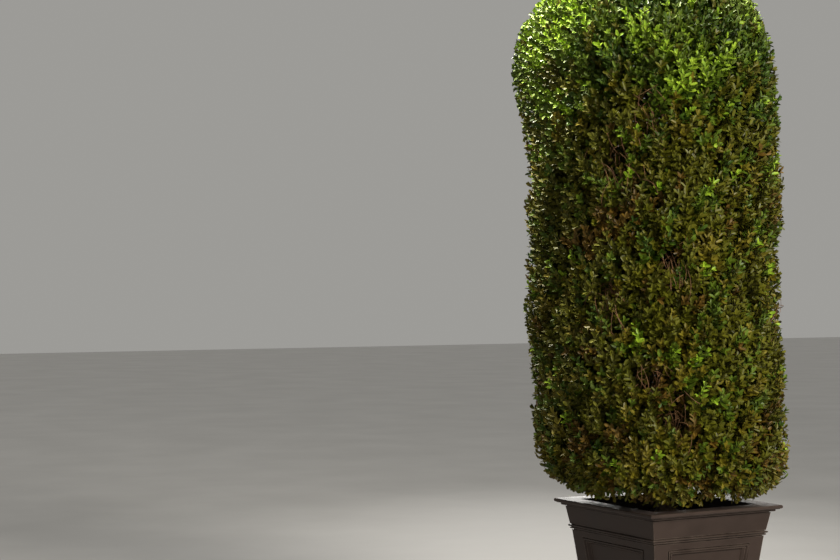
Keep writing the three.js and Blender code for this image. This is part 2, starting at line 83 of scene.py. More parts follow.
# Soft random patches of about one wavelength, mostly between -2 and 2
def patches(points, wavelength, waves=28):
    ways = unit(rng.normal(size=(waves, 3))) * rng.uniform(0.7, 1.3, (waves, 1)) * 2 * math.pi / wavelength
    return np.cos(points @ ways.T + rng.uniform(0, 2 * math.pi, waves)).sum(-1) * math.sqrt(2 / waves)


def dentDepth(dents, angle, z):
    deepest = np.zeros(np.broadcast(angle, z).shape)
    for at, height, radius, depth in dents:
        turn = angle - math.radians(at)
        across = crown["half"] * np.arctan2(np.sin(turn), np.cos(turn))
        near = np.maximum(1 - (across ** 2 + (z - height) ** 2) / radius ** 2, 0)
        deepest = np.maximum(deepest, depth * near ** 2)
    return deepest


def crownMiddle(z):
    z = np.asarray(z, float)
    rise = z - crown["rimTop"]
    settled = 1 - np.exp(-np.maximum(rise, 0) / crown["shiftRise"])
    shift = crown["lean"] * rise + crown["footShift"] * settled
    return np.stack([shift * math.cos(crown["leanAngle"]), shift * math.sin(crown["leanAngle"]), z], -1)


def crownShare(z):
    rise = np.clip((z - crown["domeFoot"]) / (crown["top"] - crown["domeFoot"]), 0, 1)
    drop = np.clip((crown["tuckTop"] - z) / (crown["tuckTop"] - crown["foot"]), 0, 1)
    domeShare = (1 - rise ** crown["domePower"]) ** (1 / crown["domePower"])
    tuckShare = crown["footShare"] + (1 - crown["footShare"]) * np.sqrt(1 - drop ** 2)
    return np.where(z > crown["domeFoot"], domeShare, tuckShare)


def crownRadius(angle, z):
    power = crown["planPower"]
    plan = (np.abs(np.cos(angle)) ** power + np.abs(np.sin(angle)) ** power) ** (-1 / power)
    swell = sum(size * np.sin(waves * angle + z / pitch) for size, waves, pitch in crown["ripples"])
    swell += dentDepth(crown["bulges"], angle, z) - dentDepth(crown["hollows"], angle, z)
    half = crown["half"] + crown["widening"] * (z - crown["foot"])
    return np.maximum(crownShare(z) * (half * plan + swell), 0)


def crownPoint(angle, z):
    return crownMiddle(z) + crownRadius(angle, z)[..., None] * outwards(angle)


def crownNormal(angle, z):
    low = np.maximum(z - 0.006, crown["foot"])
    high = np.minimum(z + 0.006, crown["top"] - 0.001)
    fall = (crownRadius(angle, low) - crownRadius(angle, high)) / (high - low)
    return unit(outwards(angle) + np.clip(fall, -2, 6)[..., None] * up)


# How far points stand out of the clipped outline, sideways
def proudOf(points):
    z = np.clip(points[..., 2], crown["foot"], crown["top"] - 0.002)
    offset = points - crownMiddle(points[..., 2])
    angle = np.arctan2(offset[..., 1], offset[..., 0])
    return np.hypot(offset[..., 0], offset[..., 1]) - crownRadius(angle, z)


def addMesh(name, points, faces, material, slotName=None, smooth=False):
    mesh = bpy.data.meshes.new(name)
    mesh.vertices.add(len(points))
    mesh.vertices.foreach_set("co", np.ascontiguousarray(points, np.float32).ravel())
    mesh.loops.add(faces.size)
    mesh.loops.foreach_set("vertex_index", np.ascontiguousarray(faces, np.int32).ravel())
    mesh.polygons.add(len(faces))
    mesh.polygons.foreach_set("loop_start", np.arange(0, faces.size, faces.shape[1], dtype=np.int32))
    mesh.polygons.foreach_set("use_smooth", np.full(len(faces), smooth))
    mesh.update(calc_edges=True)
    mesh.materials.append(material)
    piece = bpy.data.objects.new(name, mesh)
    bpy.context.scene.collection.objects.link(piece)
    if slotName:
        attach(piece, "root")
    return piece


# Many limbs at once: points is limbs x steps x 3 and radii is limbs x steps
def limbMeshes(points, radii, sides, capped=False):
    limbs, steps = radii.shape
    along = unit(np.gradient(points, axis=1))
    helper = np.where(np.abs(along[..., 2:]) > 0.9, np.array([1.0, 0.0, 0.0]), up)
    side = unit(np.cross(helper, along))
    other = np.cross(along, side)
    turn = (np.arange(sides) * 2 * math.pi / sides)[:, None]
    ring = side[:, :, None] * np.cos(turn) + other[:, :, None] * np.sin(turn)
    verts = points[:, :, None] + ring * radii[:, :, None, None]
    k = np.arange(sides)
    faces = []
    for step in range(steps - 1):
        a, b = step * sides + k, step * sides + (k + 1) % sides
        faces += [np.stack([a, b, b + sides], -1), np.stack([a, b + sides, a + sides], -1)]
    if capped:
        last = (steps - 1) * sides
        faces.append(np.stack([last + 0 * k[2:], last + k[1:-1], last + k[2:]], -1))
    one = np.concatenate(faces)
    many = one[None] + (np.arange(limbs) * steps * sides)[:, None, None]
    return verts.reshape(-1, 3), many.reshape(-1, 3)


def bezier(start, bend, end, steps):
    t = np.linspace(0, 1, steps)[:, None]
    start, bend, end = (np.asarray(v)[..., None, :] for v in (start, bend, end))
    return (1 - t) ** 2 * start + 2 * t * (1 - t) * bend + t ** 2 * end


def newMaterial(name, **fixed):
    material = bpy.data.materials.new(name)
    material.use_nodes = True
    shader = material.node_tree.nodes["Principled BSDF"]
    for socket, value in fixed.items():
        shader.inputs[socket.replace("_", " ")].default_value = value
    return material, material.node_tree, shader


def addNode(tree, kind, **values):
    node = tree.nodes.new(kind)
    for key, value in values.items():
        if key in node.bl_rna.properties:
            setattr(node, key, value)
        else:
            node.inputs[key.replace("_", " ")].default_value = value
    return node


def newGroup(name, given, made):
    group = bpy.data.node_groups.new(name, "ShaderNodeTree")
    for label, kind, value in given:
        socket = group.interface.new_socket(name=label, in_out="INPUT", socket_type="NodeSocket" + kind)
        socket.default_value = value
    for label, kind in made:
        group.interface.new_socket(name=label, in_out="OUTPUT", socket_type="NodeSocket" + kind)
    return group, group.nodes.new("NodeGroupInput"), group.nodes.new("NodeGroupOutput")


def useGroup(tree, group, **values):
    node = tree.nodes.new("ShaderNodeGroup")
    node.node_tree = group
    for key, value in values.items():
        node.inputs[key.replace("_", " ")].default_value = value
    return node


# Soft patches of noise: a colour between two, and the mask itself
def makeMottle():
    group, given, made = newGroup(
        "mottle",
        [("Dark", "Color", (0, 0, 0, 1)), ("Light", "Color", (1, 1, 1, 1)), ("Scale", "Float", 20.0),
         ("Detail", "Float", 2.0), ("From", "Float", 0.3), ("To", "Float", 0.7)],
        [("Color", "Color"), ("Mask", "Float")])
    link = group.links.new
    place = addNode(group, "ShaderNodeTexCoord")
    noise = addNode(group, "ShaderNodeTexNoise")
    spread = addNode(group, "ShaderNodeMapRange")
    mix = addNode(group, "ShaderNodeMix", data_type="RGBA")
    link(place.outputs["Object"], noise.inputs["Vector"])
    link(given.outputs["Scale"], noise.inputs["Scale"])
    link(given.outputs["Detail"], noise.inputs["Detail"])
    link(noise.outputs["Fac"], spread.inputs["Value"])
    link(given.outputs["From"], spread.inputs["From Min"])
    link(given.outputs["To"], spread.inputs["From Max"])
    link(spread.outputs["Result"], mix.inputs["Factor"])
    link(given.outputs["Dark"], mix.inputs["A"])
    link(given.outputs["Light"], mix.inputs["B"])
    link(mix.outputs["Result"], made.inputs["Color"])
    link(spread.outputs["Result"], made.inputs["Mask"])
    return group


# Dust that lies on faces that look up, broken by noise
def makeDust():
    group, given, made = newGroup(
        "ledgeDust",
        [("Amount", "Float", 0.5), ("Scale", "Float", 30.0)],
        [("Mask", "Float")])
    link = group.links.new
    place = addNode(group, "ShaderNodeTexCoord")
    noise = addNode(group, "ShaderNodeTexNoise", Detail=4.0, Roughness=0.65)
    shape = addNode(group, "ShaderNodeNewGeometry")
    facing = addNode(group, "ShaderNodeSeparateXYZ")
    rising = addNode(group, "ShaderNodeMapRange", From_Min=0.1, From_Max=0.95)
    broken = addNode(group, "ShaderNodeMapRange", From_Min=0.35, From_Max=0.68)
    both = addNode(group, "ShaderNodeMath", operation="MULTIPLY")
    scaled = addNode(group, "ShaderNodeMath", operation="MULTIPLY")
    link(place.outputs["Object"], noise.inputs["Vector"])
    link(given.outputs["Scale"], noise.inputs["Scale"])
    link(shape.outputs["Normal"], facing.inputs["Vector"])
    link(facing.outputs["Z"], rising.inputs["Value"])
    link(noise.outputs["Fac"], broken.inputs["Value"])
    link(rising.outputs["Result"], both.inputs[0])
    link(broken.outputs["Result"], both.inputs[1])
    link(both.outputs["Value"], scaled.inputs[0])
    link(given.outputs["Amount"], scaled.inputs[1])
    link(scaled.outputs["Value"], made.inputs["Mask"])
    return group


# Worn edges with a painted highlight along them: lighter where a rounded normal would turn away from the true
# one, broken by noise
def makeWearAndHighlight():
    group, given, made = newGroup(
        "edgeWearAndHighlight",
        [("Radius", "Float", 0.003), ("Amount", "Float", 0.5), ("Scale", "Float", 40.0)],
        [("Mask", "Float")])
    link = group.links.new
    place = addNode(group, "ShaderNodeTexCoord")
    shape = addNode(group, "ShaderNodeNewGeometry")
    rounded = addNode(group, "ShaderNodeBevel", samples=6)
    apart = addNode(group, "ShaderNodeVectorMath", operation="DOT_PRODUCT")
    edge = addNode(group, "ShaderNodeMapRange", From_Min=0.985, From_Max=0.86)
    noise = addNode(group, "ShaderNodeTexNoise", Detail=4.0, Roughness=0.6)
    broken = addNode(group, "ShaderNodeMapRange", From_Min=0.36, From_Max=0.66)
    both = addNode(group, "ShaderNodeMath", operation="MULTIPLY")
    scaled = addNode(group, "ShaderNodeMath", operation="MULTIPLY")
    link(given.outputs["Radius"], rounded.inputs["Radius"])
    link(given.outputs["Scale"], noise.inputs["Scale"])
    link(place.outputs["Object"], noise.inputs["Vector"])
    link(rounded.outputs["Normal"], apart.inputs[0])
    link(shape.outputs["Normal"], apart.inputs[1])
    link(apart.outputs["Value"], edge.inputs["Value"])
    link(noise.outputs["Fac"], broken.inputs["Value"])
    link(edge.outputs["Result"], both.inputs[0])
    link(broken.outputs["Result"], both.inputs[1])
    link(both.outputs["Value"], scaled.inputs[0])
    link(given.outputs["Amount"], scaled.inputs[1])
    link(scaled.outputs["Value"], made.inputs["Mask"])
    return group


# Fine relief as a bump height: noise at two sizes
def makeRelief():
    group, given, made = newGroup(
        "fineRelief",
        [("Coarse Scale", "Float", 40.0), ("Fine Scale", "Float", 300.0), ("Fine Share", "Float", 0.4)],
        [("Height", "Float")])
    link = group.links.new
    place = addNode(group, "ShaderNodeTexCoord")
    coarse = addNode(group, "ShaderNodeTexNoise", Detail=3.0)
    fine = addNode(group, "ShaderNodeTexNoise", Detail=2.0)
    mix = addNode(group, "ShaderNodeMix", data_type="FLOAT")
    link(place.outputs["Object"], coarse.inputs["Vector"])
    link(place.outputs["Object"], fine.inputs["Vector"])
    link(given.outputs["Coarse Scale"], coarse.inputs["Scale"])
    link(given.outputs["Fine Scale"], fine.inputs["Scale"])
    link(given.outputs["Fine Share"], mix.inputs["Factor"])
    link(coarse.outputs["Fac"], mix.inputs["A"])
    link(fine.outputs["Fac"], mix.inputs["B"])
    link(mix.outputs["Result"], made.inputs["Height"])
    return group


mottle, ledgeDust, edgeWearAndHighlight, fineRelief = makeMottle(), makeDust(), makeWearAndHighlight(), makeRelief()


def addBump(tree, shader, strength, distance, **scales):
    relief = useGroup(tree, fineRelief, **scales)
    bump = addNode(tree, "ShaderNodeBump", Strength=strength, Distance=distance)
    tree.links.new(relief.outputs["Height"], bump.inputs["Height"])
    tree.links.new(bump.outputs["Normal"], shader.inputs["Normal"])


def addRoughness(tree, shader, mask, low, high):
    spread = addNode(tree, "ShaderNodeMapRange", To_Min=low, To_Max=high)
    tree.links.new(mask, spread.inputs["Value"])
    tree.links.new(spread.outputs["Result"], shader.inputs["Roughness"])


# Planter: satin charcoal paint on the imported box, mouldings and panels
planter = {
    "paintDark": (0.0260, 0.0170, 0.0135, 1), "paintLight": (0.0410, 0.0276, 0.0226, 1),
    "dust": (0.085, 0.068, 0.054, 1), "dustAmount": 0.2,
    # the lighter edge colour is partly wear and partly a painted highlight along the mouldings and corners
    "wornAndHighlight": (0.16, 0.125, 0.10, 1), "wornHighlightWidth": 0.0028, "wornHighlightAmount": 0.7,
    "specular": 0.16, "rough": (0.36, 0.54), "bump": 0.25, "bumpDepth": 0.0008,
    "edgeRound": 0.0009, "mouldingRound": 0.0005, "roundSteps": 2, "roundAbove": math.radians(28),
}


def paintMaterial():
    material, tree, shader = newMaterial("charcoalPaint", Specular_IOR_Level=planter["specular"])
    link = tree.links.new
    paint = useGroup(tree, mottle, Dark=planter["paintDark"], Light=planter["paintLight"],
                     Scale=7.0, Detail=5.0, From=0.3, To=0.72)
    dust = useGroup(tree, ledgeDust, Amount=planter["dustAmount"], Scale=22.0)
    # edges lighter: partly wear, partly a painted highlight
    wearAndHighlight = useGroup(tree, edgeWearAndHighlight, Radius=planter["wornHighlightWidth"], Amount=planter["wornHighlightAmount"], Scale=18.0)
    dusty = addNode(tree, "ShaderNodeMix", data_type="RGBA")
    wornAndHighlight = addNode(tree, "ShaderNodeMix", data_type="RGBA")
    dusty.inputs["B"].default_value = planter["dust"]
    wornAndHighlight.inputs["B"].default_value = planter["wornAndHighlight"]
    link(paint.outputs["Color"], dusty.inputs["A"])
    link(dust.outputs["Mask"], dusty.inputs["Factor"])
    link(dusty.outputs["Result"], wornAndHighlight.inputs["A"])
    link(wearAndHighlight.outputs["Mask"], wornAndHighlight.inputs["Factor"])
    link(wornAndHighlight.outputs["Result"], shader.inputs["Base Color"])
    addRoughness(tree, shader, paint.outputs["Mask"], *planter["rough"])
    addBump(tree, shader, planter["bump"], planter["bumpDepth"],
            Coarse_Scale=60.0, Fine_Scale=420.0, Fine_Share=0.5)
    return material


def dressPlanter():
    paint = paintMaterial()
    for name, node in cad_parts.items():
        if not name.startswith("planter_"):
            continue
        node.data.materials.clear()
        node.data.materials.append(paint)
        bevel = node.modifiers.new("softEdges", "BEVEL")
        fine = any(moulding in name for moulding in ("bead", "belt", "rim"))
        bevel.width = planter["mouldingRound"] if fine else planter["edgeRound"]
        bevel.segments = planter["roundSteps"]
        bevel.limit_method = "ANGLE"
        bevel.angle_limit = planter["roundAbove"]
        bevel.harden_normals = True


dressPlanter()
print("planter dressed")

# Potting soil with clods, in place of the plain packed block
soil = {
    "dark": (0.010, 0.007, 0.005, 1), "light": (0.045, 0.030, 0.019, 1),
    "specular": 0.25, "rough": (0.8, 1.0), "bump": 0.8, "bumpDepth": 0.002,
    "cells": 90, "depth": 0.06, "inset": 0.001, "wallTaper": 0.965,
    "sink": 0.002, "edgeDrop": 0.006, "mostHigh": 0.004,
    "swell": 0.001, "swellWave": 0.12, "grain": 0.00066, "grainWave": 0.018,
    "clods": 420, "clodSize": (0.004, 0.011), "clodMargin": 0.012,
}


def soilMaterial():
    material, tree, shader = newMaterial("pottingSoil", Specular_IOR_Level=soil["specular"])
    colour = useGroup(tree, mottle, Dark=soil["dark"], Light=soil["light"], Scale=70.0, Detail=6.0,
                      From=0.35, To=0.7)
    tree.links.new(colour.outputs["Color"], shader.inputs["Base Color"])
    addRoughness(tree, shader, colour.outputs["Mask"], *soil["rough"])
    addBump(tree, shader, soil["bump"], soil["bumpDepth"],
            Coarse_Scale=90.0, Fine_Scale=420.0, Fine_Share=0.4)
    return material


# Height of the soil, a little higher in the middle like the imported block
def soilHeight(x, y):
    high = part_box("soil")[1]
    edge = np.maximum(np.abs(x), np.abs(y)) / high.x
    top = high.z - soil["edgeDrop"] * ramp(edge, 0.4, 1.0)
    place = np.stack([x, y, 0 * x], -1)
    swell = soil["swell"] * patches(place, soil["swellWave"])
    grain = soil["grain"] * patches(place, soil["grainWave"])
    return top - soil["sink"] + swell + grain


def buildSoil():
    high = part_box("soil")[1]
    count = soil["cells"] + 1
    half = high.x - soil["inset"]
    x, y = np.meshgrid(np.linspace(-half, half, count), np.linspace(-half, half, count), indexing="ij")
    z = np.minimum(soilHeight(x, y), high.z + soil["mostHigh"])
    top = np.stack([x, y, z], -1).reshape(-1, 3)
    index = np.arange(count * count).reshape(count, count)
    a, b, c, d = index[:-1, :-1], index[1:, :-1], index[1:, 1:], index[:-1, 1:]
    faces = np.concatenate([np.stack([a, b, c], -1).reshape(-1, 3), np.stack([a, c, d], -1).reshape(-1, 3)])
    rim = np.concatenate([index[:-1, 0], index[-1, :-1], index[:0:-1, -1], index[0, :0:-1]])
    wall = top[rim].copy()
    wall[:, 2] = high.z - soil["depth"]
    wall[:, :2] *= soil["wallTaper"]
    k = np.arange(len(rim))
    below, nextRim = len(top) + k, np.roll(rim, -1)
    faces = np.concatenate([faces, np.stack([rim, below, nextRim], -1),
                            np.stack([nextRim, below, np.roll(below, -1)], -1)])
    points = np.concatenate([top, wall])
    bed = addMesh("soil_bed", points, faces, soilMaterial(), "potting_soil", smooth=True)
    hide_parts("soil")

    # clods are small lumps with six corners, pressed into the bed
    number = soil["clods"]
    reach = half - soil["clodMargin"]
    place = rng.uniform(-reach, reach, (number, 2))
    size = rng.uniform(*soil["clodSize"], number)
    corners = np.concatenate([np.eye(3), -np.eye(3)]) * rng.uniform(0.6, 1.0, (number, 6, 1))
    spin = rng.normal(size=(number, 3, 3))
    spin = np.linalg.qr(spin)[0]
    clods = np.einsum("nij,nkj->nki", spin, corners) * size[:, None, None]
    clods[..., :2] += place[:, None]
    clods[..., 2] += soilHeight(place[:, 0], place[:, 1])[:, None]
    octa = np.array([[0, 1, 2], [1, 3, 2], [3, 4, 2], [4, 0, 2], [1, 0, 5], [3, 1, 5], [4, 3, 5], [0, 4, 5]])
    faces = (octa[None] + 6 * np.arange(number)[:, None, None]).reshape(-1, 3)
    addMesh("soil_clods", clods.reshape(-1, 3), faces, bed.data.materials[0], "potting_soil", smooth=True)


buildSoil()
print("soil laid")

# Trunk and boughs, with ridged bark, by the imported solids' rule
limbs = {
    "trunkFoot": 0.5523, "trunkTop": 2.096, "footRadius": 0.027, "topRadius": 0.009,
    "flare": 0.025, "flareHeight": 0.026, "sway": 0.006,
    "boughRise": 0.25, "boughReach": 0.15, "boughDrop": 0.04, "sag": 0.018, "bow": 0.016,
    "footShare": 0.62, "tipRadius": 0.007, "stem": 0.11, "domeStem": 0.2,
    "stemFoot": 0.02, "stemRadius": 0.0068, "stemTip": 0.004, "stemSteps": 6, "domeSteps": 8,
    "trunkSteps": 150, "trunkSides": 26, "trunkRidge": 0.035,
    "boughSteps": 26, "boughSides": 14, "boughRidge": 0.04,
    "specular": 0.2, "rough": (0.75, 0.95), "bump": 0.7, "bumpDepth": 0.0015,
    "barkDark": (0.060, 0.042, 0.030, 1), "barkLight": (0.23, 0.18, 0.125, 1),
}
tiers = [
    {"name": "lower", "foot": 0.605, "top": 1.09, "turn": 17, "shift": 0.06,
     "sides": ["right", "back", "left", "front"]},
    {"name": "middle", "foot": 1.09, "top": 1.62, "turn": 62, "shift": 0.0,
     "sides": ["back_right", "back_left", "front_left", "front_right"]},
    {"name": "upper", "foot": 1.62, "top": 2.13, "turn": 17, "shift": 0.0,
     "sides": ["right", "back", "left", "front"]},
]


def trunkMiddle(z):
    z = np.asarray(z, float)
    rise = (z - limbs["trunkFoot"]) / (limbs["trunkTop"] - limbs["trunkFoot"])
    fade = limbs["sway"] * np.sin(math.pi * np.clip(rise, 0, 1))
    foot, head = crownMiddle(crown["rimTop"]), crownMiddle(limbs["trunkTop"])
    middle = foot + (head - foot) * rise[..., None]
    middle[..., 2] = z
    middle[..., 0] += fade * np.sin(9 * rise)
    middle[..., 1] += fade * np.cos(7 * rise)
    return middle


def trunkRadius(z):
    rise = np.clip((z - limbs["trunkFoot"]) / (limbs["trunkTop"] - limbs["trunkFoot"]), 0, 1)
    taper = limbs["footRadius"] + (limbs["topRadius"] - limbs["footRadius"]) * rise ** 0.85
    return taper + limbs["flare"] * np.exp(-(z - limbs["trunkFoot"]) / limbs["flareHeight"])


def boughPath(tier, angle, steps):
    tipZ = (tier["foot"] + tier["top"]) / 2 + tier["shift"] - limbs["boughDrop"]
    start = trunkMiddle(tipZ - limbs["boughRise"])
    out = outwards(np.float64(angle))
    tip = crownMiddle(tipZ) + out * limbs["boughReach"]
    bend = (start + tip) / 2 - up * limbs["sag"] + out * limbs["bow"]
    path = bezier(start, bend, tip, steps)
    stem = path[-1] + unit(path[-1] - path[-2]) * np.linspace(
        limbs["stemFoot"], limbs["stem"], limbs["stemSteps"])[:, None]
    return np.concatenate([path, stem])


def barkMaterial():
    material, tree, shader = newMaterial("bark", Specular_IOR_Level=limbs["specular"])
    colour = useGroup(tree, mottle, Dark=limbs["barkDark"], Light=limbs["barkLight"], Scale=60.0, Detail=6.0,
                      From=0.32, To=0.68)
    tree.links.new(colour.outputs["Color"], shader.inputs["Base Color"])
    addRoughness(tree, shader, colour.outputs["Mask"], *limbs["rough"])
    addBump(tree, shader, limbs["bump"], limbs["bumpDepth"],
            Coarse_Scale=110.0, Fine_Scale=500.0, Fine_Share=0.35)
    return material


# One limb with ridges that run along it and shallow cracks across
def ridgedLimb(path, radii, sides, ridge):
    points, faces = limbMeshes(path[None], radii[None], sides, capped=True)
    rings = points.reshape(len(path), sides, 3)
    turn = np.arange(sides) * 2 * math.pi / sides
    along = np.cumsum(np.linalg.norm(np.diff(path, axis=0, prepend=path[:1]), axis=1))[:, None]
    relief = np.sin(5 * turn + 3 * np.sin(9 * along)) + 0.7 * np.sin(9 * turn - 14 * along + 2)
    relief += 0.5 * np.sin(2 * turn + 90 * along) + rng.normal(0, 0.35, relief.shape)
    rings += (rings - path[:, None]) * (ridge * relief)[..., None]
    return rings.reshape(-1, 3), faces


def buildLimbs():
    bark = barkMaterial()
    height, sides = limbs["trunkTop"] - limbs["trunkFoot"], limbs["trunkSides"]
    z = limbs["trunkFoot"] + height * np.linspace(0, 1, limbs["trunkSteps"]) ** 1.5
    path = trunkMiddle(z)
    stemTop = path[-1] + up * np.linspace(limbs["stemFoot"], limbs["domeStem"], limbs["domeSteps"])[:, None]
    stemRadii = np.linspace(limbs["topRadius"], limbs["stemTip"], limbs["domeSteps"])
    radii = np.concatenate([trunkRadius(z), stemRadii])
    path = np.concatenate([path, stemTop])
    points, faces = ridgedLimb(path, radii, sides, limbs["trunkRidge"])
    flat = points[:sides]
    flat[:, 2] = np.minimum(flat[:, 2], limbs["trunkFoot"])
    trunk = addMesh("trunk_bark", points, faces, bark, "bark", smooth=True)
    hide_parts("trunk")
    allPoints, allFaces, nodes, ways, count = [], [], [], {}, 0
    stemRadii = np.linspace(limbs["stemRadius"], limbs["stemTip"], limbs["stemSteps"])
    for row, tier in enumerate(tiers):
        for k, side in enumerate(tier["sides"]):
            path = boughPath(tier, math.radians(tier["turn"] + 90 * k), limbs["boughSteps"])
            foot = limbs["footShare"] * trunkRadius(path[0, 2])
            radii = np.concatenate([np.linspace(foot, limbs["tipRadius"], limbs["boughSteps"]), stemRadii])
            points, faces = ridgedLimb(path, radii, limbs["boughSides"], limbs["boughRidge"])
            allPoints.append(points)
            allFaces.append(faces + count)
            count += len(points)
            nodes.append(f"bough_{tier['name']}_{side}")
            ways[(row, k)] = path
    boughs = addMesh("boughs_bark", np.concatenate(allPoints), np.concatenate(allFaces), bark, "bark",
                     smooth=True)
    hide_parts(*nodes)
    ways["dome"] = trunkMiddle(limbs["trunkTop"]) + up * np.linspace(0, limbs["domeStem"], 12)[:, None]
    return ways


limbWays = buildLimbs()
print("trunk and boughs grown")

# Tufts: branchlets that end in fans of upright leafy shoots, even over the clipped face
growth = {
    "tufts": 480, "outer": 5200, "inner": 2200, "old": 1600, "skirt": 560, "backing": 200,
    "tuftReach": 0.073, "proud": 0.004, "uneven": 0.012,
    "gapEven": 0.009, "gapRagged": 0.062, "tuftJitter": 0.009,
    "innerDepth": (0.045, 0.085), "oldDepth": (0.09, 0.17), "skirtDepth": (0.02, 0.22),
    "backingDepth": (0.09, 0.16), "backingDrop": 0.03, "backingSpread": 0.5, "skirtTop": 0.72,
    "raggedMean": 0.62, "raggedSwing": 0.38, "raggedWave": 0.4,
    "length": (0.115, 0.175), "sunnyLength": 0.6,
    "gather": 0.45, "gatherDepth": 0.04, "gatherDrop": 0.02,
    "tipOut": 0.55, "tipUp": 0.78, "sunnyOut": 0.95, "sunnyUp": 0.4,
    "footOut": 0.95, "footUp": 0.2, "footFan": 1.6, "footScatter": 0.1, "fan": 0.34, "scatter": 0.2,
    "hollowThinning": 0.6, "hollowDepth": 0.04,
    # the fresh tint, partly painted sunlight, goes on the shoulder above this band of heights; below it the
    # sunny side takes duller tints as painted shade
    "sunnyBand": (1.78, 2.12), "sunnyBelow": 0.08,
}
layers = ("outer", "inner", "old", "skirt", "backing")
leaf = {
    "pairs": 7, "tipLeaves": 3, "innerPairs": 5, "first": 0.3,
    "length": 0.033, "sunnyLength": 0.0205, "width": 0.41, "sunnyWidth": 0.66,
    "fold": 0.15, "curl": 0.10, "facing": 0.42, "sunnyFacing": 0.9,
    "footAngle": 66, "tipAngle": 37, "wobble": 0.2, "mostProud": 0.007, "clearOfRim": 0.004,
    "nodeJitter": 0.014, "turnJitter": 0.2, "lastPair": 0.96, "tipAt": 0.985,
    "specular": 0.22, "rough": (0.40, 0.58), "bump": 0.3, "bumpDepth": 0.0006,
    # share of the length and of the width at each corner of the half outline
    "outline": [(0.15, 0.33), (0.48, 0.5), (0.83, 0.40)], "innerOutline": [(0.26, 0.45), (0.74, 0.47)],
}
sunWay = unit(np.array([-0.62, 0.78, 0.0]))  # the way the sun comes from: shoots facing it take the fresh tint, partly painted sunlight


# Even places over the crown: heights by area, angles by the golden ratio
def evenPlaces(count, start, jitter):
    z = np.linspace(crown["foot"] + 0.004, crown["top"] - 0.0004, 1500)
    turn = np.linspace(0, 2 * math.pi, 48, endpoint=False)[:, None]
    wide = crownRadius(turn, z[None]).mean(0)
    strip = np.hypot(np.diff(wide), np.diff(z)) * (wide[1:] + wide[:-1]) / 2
    area = np.concatenate([[0], np.cumsum(strip)])
    share = (np.arange(count) + rng.random(count)) / count
    angle = start + np.arange(count) * math.pi * (3 - math.sqrt(5)) + rng.normal(0, jitter, count)
    return angle % (2 * math.pi), np.interp(share * area[-1], area, z)


def nearestOf(points, centres):
    gaps = (points ** 2).sum(-1)[:, None] + (centres ** 2).sum(-1)[None] - 2 * points @ centres.T
    nearest = np.argmin(gaps, 1)
    return nearest, np.sqrt(np.maximum(gaps[np.arange(len(points)), nearest], 0))


def averageBy(member, values, count):
    size = np.maximum(np.bincount(member, minlength=count), 1)
    return np.stack([np.bincount(member, values[:, i], minlength=count) / size for i in range(3)], -1)


